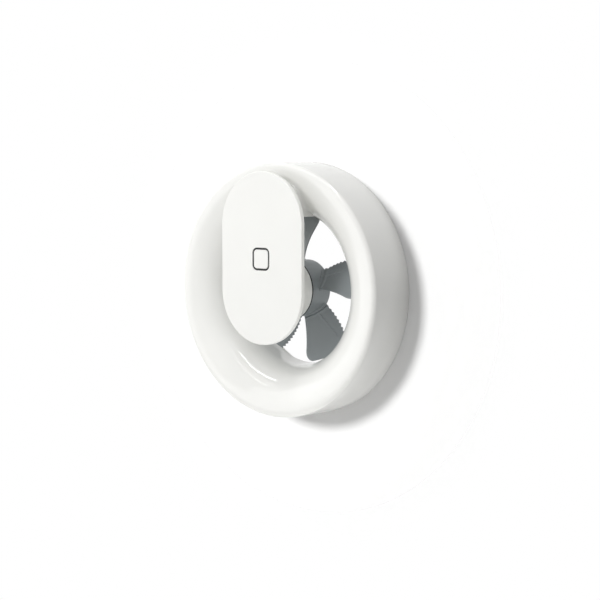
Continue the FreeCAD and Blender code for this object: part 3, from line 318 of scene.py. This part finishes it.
def screw_well():
    """A rod along the lock screw's axis, which cuts the well for its head in the drum wall."""
    centre = (screw_low + screw_high) / 2
    inner, outer = RING_REAR_R - SCREW_WELL_DEPTH, RING_REAR_R + SCREW_WELL_PAST
    middle = Matrix.Translation((centre.x, centre.y, -(inner + outer) / 2))
    edit = bmesh.new()
    bmesh.ops.create_cone(edit, cap_ends=True, segments=WELL_STEPS, depth=outer - inner, matrix=middle,
                          radius1=SCREW_WELL_R, radius2=SCREW_WELL_R)
    mesh = bpy.data.meshes.new("well")
    edit.to_mesh(mesh)
    edit.free()
    return linked("well", mesh)


well = screw_well()
cut = ring_shell.modifiers.new("lock screw well", "BOOLEAN")
cut.object = well
cut.operation = "DIFFERENCE"
cut.solver = "EXACT"
bake(ring_shell)
bpy.data.objects.remove(well)
front_ring = joined("front_ring_moulding", ring_shell, arm_mesh())

# Impeller: one blade as a grid over its span and chord, set round the hub by a node tree
span_shares = BLADE_STATION_SHARES[:, 0]
edge_fits = [np.polyfit(span_shares, BLADE_STATION_SHARES[:, k], 3) for k in range(1, 5)]


def blade_edges(x):
    """Leading and trailing edge points at plane distances x, as arrays of x, standoff and z."""
    share = (x - BLADE_ROOT_X) / (BLADE_TIP_R - BLADE_ROOT_X)
    lead_z, lead_s, trail_z, trail_s = (np.polyval(fit, share) for fit in edge_fits)
    lead = np.stack([x, HUB_REAR + lead_s * HUB_LENGTH, lead_z * BLADE_TIP_R], -1)
    trail = np.stack([x, HUB_REAR + trail_s * HUB_LENGTH, trail_z * BLADE_TIP_R], -1)
    return lead, trail


def blade_middle(x, share):
    """Points on the blade's middle surface at plane distances x and chord shares."""
    lead, trail = blade_edges(x)
    chord = trail - lead
    length = np.linalg.norm(chord, axis=-1, keepdims=True)
    along = chord / length
    across = np.stack([np.zeros_like(x), -along[..., 2], along[..., 1]], -1)
    across = np.where(across[..., 1:2] < 0, across, -across)
    bulge = 4 * BLADE_CAMBER_SHARE * (share * (1 - share))[..., None] * length
    return lead + chord * share[..., None] + across * bulge


def plane_at(radius, share):
    """The plane distance where the chord share's line reaches a radius, by halving."""
    low = np.full_like(share, BLADE_SEARCH_FROM)
    high = np.full_like(share, BLADE_SEARCH_TO)
    for _ in range(HALVINGS):
        middle = (low + high) / 2
        point = blade_middle(middle, share)
        inside = np.hypot(point[..., 0], point[..., 2]) < radius
        low, high = np.where(inside, middle, low), np.where(inside, high, middle)
    return (low + high) / 2


def rounded(share):
    """A quarter round's height, as a share of its radius, at a share of the way in from its rim."""
    return np.sqrt(1 - (1 - share) ** 2)


def blade_mesh():
    """One closed blade, as a grid that bends to the rib, the teeth and the tip's corner."""
    gap_part = TOOTH_ROOT_GAP / BLADE_LENGTH
    teeth_steps = TOOTH_POINTS * TOOTH_COUNT
    teeth = gap_part + (1 - gap_part) * np.arange(teeth_steps) / teeth_steps
    gap = np.linspace(0, gap_part, BLADE_ROOT_POINTS)[:-1]
    span = np.concatenate([gap, teeth, 1 - BLADE_RIM_SHARES[::-1][1:]])
    chord = np.concatenate([BLADE_RIM_SHARES, 1 - BLADE_RIM_SHARES, BLADE_RIB_SHARES, BLADE_CHORD_SHARES])
    share, part = np.meshgrid(np.unique(np.round(chord, SHARE_DIGITS)), span)
    rows, columns = share.shape

    # the chord is cut short by the rounded tip corner in front and by the teeth behind
    corner_part = TIP_CORNER_R / BLADE_LENGTH
    past_corner = np.clip((part - 1 + corner_part) / corner_part, 0, 1)
    first = TIP_CORNER_R / TIP_CHORD * (1 - np.sqrt(1 - past_corner * past_corner))
    tooth = np.clip((part - gap_part) / (1 - gap_part), 0, 1) * TOOTH_COUNT
    notch = (1 - np.abs(2 * (tooth % 1) - 1)) * TOOTH_DEPTH / TOOTH_CHORD
    rib_share = RIB_ROOT_SHARE + (RIB_TIP_SHARE - RIB_ROOT_SHARE) * part
    past_rib = rib_share + (share - RIB_ROOT_SHARE) * (1 - rib_share) / (1 - RIB_ROOT_SHARE)
    share = np.where(share < RIB_ROOT_SHARE, share * rib_share / RIB_ROOT_SHARE, past_rib)
    share = first + (1 - first - notch) * share
    rib_share = first + (1 - first - notch) * rib_share

    start = plane_at(HUB_R - BLADE_ROOT_SINK, share)
    end = plane_at(BLADE_TIP_R, share)
    x = start + (end - start) * part
    middle = blade_middle(x, share)
    normal = np.cross(np.gradient(middle, axis=0), np.gradient(middle, axis=1))
    normal /= np.linalg.norm(normal, axis=-1, keepdims=True)
    normal = np.where(normal[..., 1:2] > 0, normal, -normal)

    # half thickness, rounded off at the rim, and what stands on it: root fillet, bead and rib
    lead, trail = blade_edges(x)
    length = np.linalg.norm(trail - lead, axis=-1)
    radius = np.hypot(middle[..., 0], middle[..., 2])
    from_edge = np.minimum((share - first) * length, (1 - notch - share) * length)
    from_rim = np.minimum(from_edge, BLADE_TIP_R - radius)
    rim = rounded(np.clip(from_rim / BLADE_EDGE_R, 0, 1))
    thick = BLADE_ROOT_T + (BLADE_TIP_T - BLADE_ROOT_T) * part
    half = (BLADE_EDGE_R + (thick / 2 - BLADE_EDGE_R) * np.sin(np.pi * np.clip(share, 0, 1))) * rim
    fillet = ROOT_FILLET_R * (1 - rounded(np.clip((radius - HUB_R) / ROOT_FILLET_R, 0, 1))) * rim
    bead = ROOT_BEAD_H * np.exp(-((radius - HUB_R - ROOT_FILLET_R) / ROOT_BEAD_HALF_W) ** 2) * rim
    run_out = np.clip((RIB_END_PART - part) / RIB_RUN_OUT_PART, 0, 1)
    rib = RIB_HEIGHT * np.exp(-((share - rib_share) * length / RIB_HALF_W) ** 2) * run_out
    upper = middle + normal * (half + fillet + rib + bead)[..., None]
    lower = middle - normal * (half + fillet)[..., None]

    x, standoff, z = np.concatenate([upper.reshape(-1, 3), lower.reshape(-1, 3)]).T
    cos, sin = math.cos(BLADE_ANGLE), math.sin(BLADE_ANGLE)
    points = np.stack([x * cos - z * sin, -standoff, x * sin + z * cos], -1)
    faces = []
    below = rows * columns
    for i in range(rows - 1):
        for j in range(columns - 1):
            a = i * columns + j
            d = a + columns
            faces.append((a, a + 1, d + 1, d))
            faces.append((below + d, below + d + 1, below + a + 1, below + a))
    for j in range(columns - 1):
        faces.append((j + 1, j, below + j, below + j + 1))
    return mesh_object("blade", points, faces, BLADE_SHARP_DEG)


# Materials
def linear(code):
    """Linear colour of an sRGB hex code."""
    values = [int(code[k:k + 2], 16) / 255 for k in (1, 3, 5)]
    return tuple(v / 12.92 if v <= 0.04045 else ((v + 0.055) / 1.055) ** 2.4 for v in values) + (1.0,)


def add(tree, kind, settings=None, **inputs):
    """Adds a node with its settings. An input's name has _ for a space, and i0 is the first input.

    An input is given a value or another node's output."""
    node = tree.nodes.new(kind)
    for key, value in (settings or {}).items():
        setattr(node, key, value)
    for key, value in inputs.items():
        socket = node.inputs[int(key[1:]) if key[1:].isdigit() else key.replace("_", " ")]
        if isinstance(value, bpy.types.NodeSocket):
            tree.links.new(value, socket)
        else:
            socket.default_value = value
    return node


def empty_tree(owner):
    """The node tree of a material or world, with nothing in it."""
    owner.use_nodes = True
    owner.node_tree.nodes.clear()
    return owner.node_tree


# the noise's values lie mostly between these two
NOISE_LOW = 0.3
NOISE_HIGH = 0.7
PATCH_DETAIL = 3.0
GRAIN_DETAIL = 2.0


def finish_material(name, colour, shade, rough, rough_spread, grain_mm, grain_height_mm,
                    patch_mm=18, stretch=(1, 1, 1), **surface):
    """A surface whose colour and gloss drift in patches between two values, with a grain that lifts it."""
    material = bpy.data.materials.new(name)
    tree = empty_tree(material)
    place = add(tree, "ShaderNodeTexCoord").outputs["Object"]
    drawn = add(tree, "ShaderNodeMapping", i0=place, Scale=stretch).outputs[0]
    patch = add(tree, "ShaderNodeTexNoise", Vector=place, Scale=1 / (patch_mm * MM), Detail=PATCH_DETAIL)
    grain = add(tree, "ShaderNodeTexNoise", Vector=drawn, Scale=1 / (grain_mm * MM), Detail=GRAIN_DETAIL)
    tone = add(tree, "ShaderNodeMix", {"data_type": "RGBA"}, Factor=patch.outputs["Fac"],
               i6=linear(colour), i7=linear(shade))
    gloss = add(tree, "ShaderNodeMapRange", Value=patch.outputs["Fac"],
                From_Min=NOISE_LOW, From_Max=NOISE_HIGH,
                To_Min=rough - rough_spread, To_Max=rough + rough_spread)
    bump = add(tree, "ShaderNodeBump", Height=grain.outputs["Fac"],
               Distance=grain_height_mm * MM, Strength=1.0)
    shader = add(tree, "ShaderNodeBsdfPrincipled", Base_Color=tone.outputs[2], Roughness=gloss.outputs[0],
                 Normal=bump.outputs[0], **surface)
    add(tree, "ShaderNodeOutputMaterial", Surface=shader.outputs[0])
    return material


# Colour, shade, roughness and its spread, grain size and grain height in mm. Moulded textures are really
# about 0.1 mm fine, and are drawn three to eight times as coarse so that they show.
MATERIALS = {
    # gloss ABS from a polished mould: smooth and wet-looking, with a trace of waviness that bends reflections
    "ring_white": finish_material(
        "gloss_white_abs", "#F5F5F2", "#F3F3F0", 0.09, 0.015, 6, 0.0015, IOR=1.53),
    # satin ABS from a spark-eroded mould: a fine even texture that spreads highlights into a soft sheen
    "plate_white": finish_material(
        "satin_white_abs", "#F7F7F4", "#F5F5F2", 0.42, 0.04, 0.5, 0.006, IOR=1.53),
    # matt ABS of the hidden mouldings: a coarser texture with no highlights, and a little warmer
    "base_white": finish_material(
        "matt_white_abs", "#EFEFEA", "#EAEAE4", 0.55, 0.05, 0.8, 0.01, IOR=1.53),
    # moulded grey polypropylene: satin and waxy, and slightly cloudy from the flow of the melt
    "impeller_grey": finish_material(
        "grey_moulded_polypropylene", "#9BA1A4", "#979DA0", 0.42, 0.03, 1.5, 0.001, IOR=1.49),
    # black ABS: deep and even, with a dull gloss that only its edges catch. The frame round the push button
    # is moulded in it, and its black also stands in for the shadow in the groove round the button: partly
    # painted shade.
    "dark_plastic": finish_material(
        "black_abs_and_painted_groove_shade", "#161718", "#1C1D1E", 0.5, 0.06, 0.4, 0.006, IOR=1.53),
    # foam skived from a block: cut cells pit the face, so it swallows light
    "foam_seal": finish_material(
        "closed_cell_foam", "#3B3C3D", "#2C2D2E", 0.95, 0.04, 0.5, 0.2),
    # moulded rubber: dull and soft-looking, with a dusty bloom in patches
    "grommet_rubber": finish_material(
        "epdm_rubber", "#242425", "#2E2E2F", 0.75, 0.06, 0.3, 0.01, IOR=1.52),
    # unpigmented nylon: creamy and half matt, uneven where it has drawn moisture
    "terminal_nylon": finish_material(
        "natural_nylon", "#E9E6DA", "#DFDBCC", 0.5, 0.06, 0.6, 0.006, IOR=1.53),
    # extruded PVC: a clear even blue with a soft sheen along the wire
    "wire_jacket": finish_material(
        "pvc_wire_jacket", "#2F5FA8", "#2A5596", 0.4, 0.05, 0.6, 0.004, IOR=1.53),
    # shrunk plastic sleeve over a drawn can: dark, tight and fairly glossy
    "capacitor_can": finish_material(
        "sleeved_aluminium_can", "#20242C", "#2A2F38", 0.35, 0.05, 0.8, 0.004),
    # screened lacquer on glass cloth: glossy green that turns darker where the cloth's weave lies deeper
    "board_laminate": finish_material(
        "green_solder_mask", "#1F6B3E", "#185833", 0.35, 0.08, 0.4, 0.01, patch_mm=3),
    # turned brass: warm and bright, with fine tool marks that blur its reflections
    "brass": finish_material(
        "turned_brass", "#C9A655", "#B8923F", 0.3, 0.08, 0.15, 0.004, Metallic=1.0),
    # stacked sheets of silicon steel: grey, with the sheets' edges as lines across the stack
    "core_steel": finish_material(
        "laminated_core_steel", "#77797C", "#66686B", 0.45, 0.08, 0.5, 0.05,
        stretch=(0.05, 1, 0.05), Metallic=1.0),
    # wound enamelled wire: amber and shiny, ribbed by its turns
    "copper_wire": finish_material(
        "enamelled_copper_wire", "#B5642F", "#9A4E22", 0.28, 0.06, 0.25, 0.08,
        stretch=(1, 0.1, 1), Metallic=1.0),
    # pressed and fired ferrite: charcoal, dull and slightly gritty, like unglazed pottery
    "magnet_ferrite": finish_material(
        "sintered_ferrite", "#3A3A3C", "#303032", 0.65, 0.08, 0.4, 0.02),
    # zinc-plated steel: pale and silvery, with a faint cloud from the passivating dip
    "plated_steel": finish_material(
        "zinc_plated_steel", "#C3C5C7", "#AEB1B5", 0.3, 0.08, 0.3, 0.004, Metallic=1.0),
}
for row in frame["record"]["subparts"]:
    node_mesh = frame["nodes"][row["node"]].data
    node_mesh.materials.clear()
    node_mesh.materials.append(MATERIALS[row["material_slot"]])

# length of the painted shade at the motor can's end towards the hub, which stands in for the gap's shadow
PAINTED_GAP_SHADE_LENGTH = 1.3 * MM


def motor_can_with_painted_gap_shade():
    """The panel's plastic with painted shade: near-black for the last stretch towards the hub, standing in
    for the shadow in the gap.
    """
    can = MATERIALS["plate_white"].copy()
    can.name = "satin_white_abs_with_painted_gap_shade"
    tree = can.node_tree
    colour_in = next(n for n in tree.nodes if n.type == "BSDF_PRINCIPLED").inputs["Base Color"]
    place = add(tree, "ShaderNodeTexCoord").outputs["Object"]
    depth = add(tree, "ShaderNodeSeparateXYZ", Vector=place).outputs["Y"]
    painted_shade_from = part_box("motor_housing")[1].y - PAINTED_GAP_SHADE_LENGTH
    painted_shade_mask = add(tree, "ShaderNodeMath", {"operation": "GREATER_THAN"}, i0=depth, i1=painted_shade_from).outputs[0]
    with_painted_shade = add(tree, "ShaderNodeMix", {"data_type": "RGBA"}, Factor=painted_shade_mask,
                 i6=colour_in.links[0].from_socket, i7=linear("#0E0E0F")).outputs[2]
    tree.links.new(with_painted_shade, colour_in)
    return can


# painted shade: the motor can's last stretch towards the hub is near-black, standing in for the shadow in the
# running gap to the hub
frame["nodes"]["motor_housing"].data.materials[0] = motor_can_with_painted_gap_shade()


def dressed(obj, slot, body, *nodes):
    """Gives a finished piece its material and its body, and hides the CAD nodes that it stands for."""
    obj.data.materials.clear()
    obj.data.materials.append(MATERIALS[slot])
    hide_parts(*nodes)
    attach(obj, body)


def ring_of_copies(obj, count, material):
    """Sets copies of a mesh round the fan's axis with a node tree, and keeps the plain mesh."""
    tree = bpy.data.node_groups.new("copies round the axis", "GeometryNodeTree")
    tree.interface.new_socket("Geometry", in_out="INPUT", socket_type="NodeSocketGeometry")
    count_in = tree.interface.new_socket("Count", in_out="INPUT", socket_type="NodeSocketInt")
    finish_in = tree.interface.new_socket("Material", in_out="INPUT", socket_type="NodeSocketMaterial")
    tree.interface.new_socket("Geometry", in_out="OUTPUT", socket_type="NodeSocketGeometry")
    given = add(tree, "NodeGroupInput").outputs
    points = add(tree, "GeometryNodePoints", Count=given["Count"])
    index = add(tree, "GeometryNodeInputIndex")
    step = add(tree, "ShaderNodeMath", {"operation": "DIVIDE"}, i0=2 * math.pi, i1=given["Count"])
    angle = add(tree, "ShaderNodeMath", {"operation": "MULTIPLY"}, i0=index.outputs[0], i1=step.outputs[0])
    euler = add(tree, "ShaderNodeCombineXYZ", Y=angle.outputs[0])
    spin = add(tree, "FunctionNodeEulerToRotation", Euler=euler.outputs[0])
    copies = add(tree, "GeometryNodeInstanceOnPoints", Points=points.outputs[0], Instance=given["Geometry"],
                 Rotation=spin.outputs[0])
    plain = add(tree, "GeometryNodeRealizeInstances", Geometry=copies.outputs[0])
    painted = add(tree, "GeometryNodeSetMaterial", Geometry=plain.outputs[0], Material=given["Material"])
    add(tree, "NodeGroupOutput", Geometry=painted.outputs[0])
    modifier = obj.modifiers.new("copies", "NODES")
    modifier.node_group = tree
    modifier[count_in.identifier] = count
    modifier[finish_in.identifier] = material
    return bake(obj)


hub_bore = HUB_R - HUB_WALL
hub_end_inside = HUB_REAR + HUB_END_T
hub_profile = (
    [(HUB_SHAFT_HOLE_R, HUB_REAR), (HUB_END_MIDDLE_R, HUB_REAR)]
    + turn((HUB_R - HUB_EDGE_R, HUB_REAR + HUB_EDGE_R), HUB_EDGE_R, -90, 0, HUB_EDGE_POINTS)
    + turn((HUB_R - EDGE_R, HUB_FRONT - EDGE_R), EDGE_R, 0, 90, EDGE_POINTS)
    + [(hub_bore, HUB_FRONT), (hub_bore, hub_end_inside), (HUB_SHAFT_HOLE_R, hub_end_inside)]
)
hub = lathe("hub", hub_profile, HUB_STEPS)
blades = ring_of_copies(blade_mesh(), BLADE_COUNT, MATERIALS["impeller_grey"])
impeller = joined("impeller_moulding", hub, blades)

dressed(front_ring, "ring_white", "housing", "front_ring")
dressed(impeller, "impeller_grey", "rotor", "impeller")

# Stage. Its lengths are in metres.
FLOOR_Z = -0.6
FLOOR_GLOW_SHARE = 0.6
STAGE_REACH = 3.0
PAPER_FADE_FROM = 0.12
PAPER_FADE_TO = 0.19
PAPER_HOLE_R = RING_REAR_R - EDGE_R
AMBIENT_STRENGTH = 0.50
WHITE_STRENGTH = 1.0
WHITE = linear("#FFFFFF")


def stage_plane(name, points, faces, material):
    """A flat piece of the studio, which isn't part of the fan."""
    obj = mesh_object(name, points, faces)
    obj.data.materials.append(material)
    return obj


def showing(tree):
    """One for the rays that show the studio: from the camera, mirrored or through something clear."""
    path = add(tree, "ShaderNodeLightPath").outputs
    seen = add(tree, "ShaderNodeMath", {"operation": "MAXIMUM"},
               i0=path["Is Camera Ray"], i1=path["Is Glossy Ray"]).outputs[0]
    return add(tree, "ShaderNodeMath", {"operation": "MAXIMUM"},
               i0=seen, i1=path["Is Transmission Ray"]).outputs[0]


def paper_material():
    """The backdrop's paper, which fades into the white studio away from the fan."""
    # seamless paper: dead matt, white where it is lit, with the part's soft shadow, and gone from behind
    paper = bpy.data.materials.new("white_paper_backdrop")
    tree = empty_tree(paper)
    camera_ray = add(tree, "ShaderNodeLightPath").outputs["Is Camera Ray"]
    clear = add(tree, "ShaderNodeBsdfTransparent").outputs[0]
    matt = add(tree, "ShaderNodeBsdfDiffuse", Color=linear("#8E8E8E")).outputs[0]
    white = add(tree, "ShaderNodeBsdfDiffuse", Color=linear("#E0E0E0")).outputs[0]
    front = add(tree, "ShaderNodeMixShader", Fac=showing(tree), i1=matt, i2=white).outputs[0]
    rear = add(tree, "ShaderNodeNewGeometry").outputs["Backfacing"]
    place = add(tree, "ShaderNodeTexCoord").outputs["Object"]
    away = add(tree, "ShaderNodeVectorMath", {"operation": "LENGTH"}, i0=place).outputs["Value"]
    fade = add(tree, "ShaderNodeMapRange", {"interpolation_type": "SMOOTHSTEP"}, Value=away,
               From_Min=PAPER_FADE_FROM, From_Max=PAPER_FADE_TO).outputs[0]
    faded = add(tree, "ShaderNodeMath", {"operation": "MULTIPLY"}, i0=fade, i1=camera_ray).outputs[0]
    unseen = add(tree, "ShaderNodeMath", {"operation": "MAXIMUM"}, i0=faded, i1=rear).outputs[0]
    sheet = add(tree, "ShaderNodeMixShader", Fac=unseen, i1=front, i2=clear).outputs[0]
    add(tree, "ShaderNodeOutputMaterial", Surface=sheet)
    return paper


def floor_material():
    """The floor's paint, with a share of plain white where it shows."""
    # painted boards: pale and matt, lightened where they show so that the lamps needn't light them
    paint = finish_material("pale_floor", "#F2F2F0", "#EEEEEC", 0.8, 0.03, 4, 0.01)
    tree = paint.node_tree
    surface_in = next(n for n in tree.nodes if n.type == "OUTPUT_MATERIAL").inputs["Surface"]
    glow = add(tree, "ShaderNodeEmission", Color=WHITE, Strength=WHITE_STRENGTH).outputs[0]
    share = add(tree, "ShaderNodeMath", {"operation": "MULTIPLY"},
                i0=showing(tree), i1=FLOOR_GLOW_SHARE).outputs[0]
    pale = add(tree, "ShaderNodeMixShader", Fac=share, i1=surface_in.links[0].from_socket, i2=glow).outputs[0]
    tree.links.new(pale, surface_in)
    return paint


def studio_world():
    """An even grey light all round, which shows as white."""
    world = bpy.data.worlds.new("soft studio")
    tree = empty_tree(world)
    ambient = add(tree, "ShaderNodeBackground", Color=WHITE, Strength=AMBIENT_STRENGTH).outputs[0]
    white = add(tree, "ShaderNodeBackground", Color=WHITE, Strength=WHITE_STRENGTH).outputs[0]
    sky = add(tree, "ShaderNodeMixShader", Fac=showing(tree), i1=ambient, i2=white).outputs[0]
    add(tree, "ShaderNodeOutputWorld", Surface=sky)
    return world


# the paper lies on the wall, with a hole behind the fan for the duct
paper_points = [(r * math.cos(a), 0, r * math.sin(a))
                for r in (PAPER_HOLE_R, STAGE_REACH) for a in circle_angles(RING_STEPS)]
paper_faces = [face[::-1] for face in loop_faces(2, RING_STEPS, False)]
backdrop = stage_plane("backdrop", paper_points, paper_faces, paper_material())
floor_points = [(-STAGE_REACH, -STAGE_REACH, FLOOR_Z), (STAGE_REACH, -STAGE_REACH, FLOOR_Z),
                (STAGE_REACH, 0, FLOOR_Z), (-STAGE_REACH, 0, FLOOR_Z)]
stage_plane("floor", floor_points, [(0, 1, 2, 3)], floor_material())
bpy.context.scene.world = studio_world()

# Light. The backdrop has a lamp of its own, so that its shadow can be deep while the part is lit softly.
wall_only = bpy.data.collections.new("wall only")
wall_only.objects.link(backdrop)
part_only = bpy.data.collections.new("part only")
part_only.objects.link(backdrop)
part_only.collection_objects[0].light_linking.link_state = "EXCLUDE"

FAN_CENTRE = (0, 0, 0)
LEFT_OF_FAN = (-0.34, 0, 0)


def lamp(name, place, aim, watts, width, height, lights=part_only, mirrored=True):
    """A rectangular lamp, in metres, that lights what its collection says and shows in gloss or not."""
    data = bpy.data.lights.new(name, "AREA")
    data.shape = "RECTANGLE"
    data.energy = watts
    data.size = width
    data.size_y = height
    obj = linked(name, data)
    obj.location = place
    obj.rotation_euler = (Vector(aim) - Vector(place)).to_track_quat("-Z", "Y").to_euler()
    obj.light_linking.receiver_collection = lights
    obj.visible_glossy = mirrored


# front light for the plate and the bell, from a little above
lamp("key", (0, -1.95, 0.5), FAN_CENTRE, 9.4, 0.5, 0.5, mirrored=False)
# lights the ring's left and the right inside of the bell
lamp("left side", (-1.5, -1.2, 0.3), FAN_CENTRE, 5.2, 1.2, 1.2)
# brightens the drum's top
lamp("top", (0.2, -0.1, 1.4), FAN_CENTRE, 4.6, 0.2, 0.2)
# two long strips, for the streak low in the bell
lamp("strip", (-0.5, -0.8, 1.4), LEFT_OF_FAN, 4.2, 1.5, 0.1)
lamp("thin strip", (-0.45, -1.3, 1.2), LEFT_OF_FAN, 1.2, 1.5, 0.04)
# lifts the drum's underside
lamp("low", (0.1, -0.04, -0.45), (0.03, 0, 0), 0.4, 0.06, 0.06, mirrored=False)
# throws the fan's shadow to the lower right
lamp("wall", (-0.6, -1.9, 0.5), FAN_CENTRE, 38, 0.4, 0.4, lights=wall_only)

# Camera, on a line through the fan's centre. The shift puts the fan where the photo's frame has it.
CAMERA_DISTANCE = 0.950
CAMERA_AZIMUTH = math.radians(40.3)
CAMERA_ELEVATION = math.radians(4.42)
camera_data = bpy.data.cameras.new("camera")
camera_data.lens = 78.6
camera_data.sensor_width = 36
camera_data.shift_x = -0.0125
camera_data.shift_y = -0.021
camera_data.clip_start = 0.01
camera = linked("camera", camera_data)
towards_camera = Vector((math.sin(CAMERA_AZIMUTH) * math.cos(CAMERA_ELEVATION),
                         -math.cos(CAMERA_AZIMUTH) * math.cos(CAMERA_ELEVATION),
                         math.sin(CAMERA_ELEVATION)))
camera.location = CAMERA_DISTANCE * towards_camera
camera.rotation_euler = (-towards_camera).to_track_quat("-Z", "Y").to_euler()
bpy.context.scene.camera = camera
bpy.context.scene.view_settings.view_transform = "Standard"
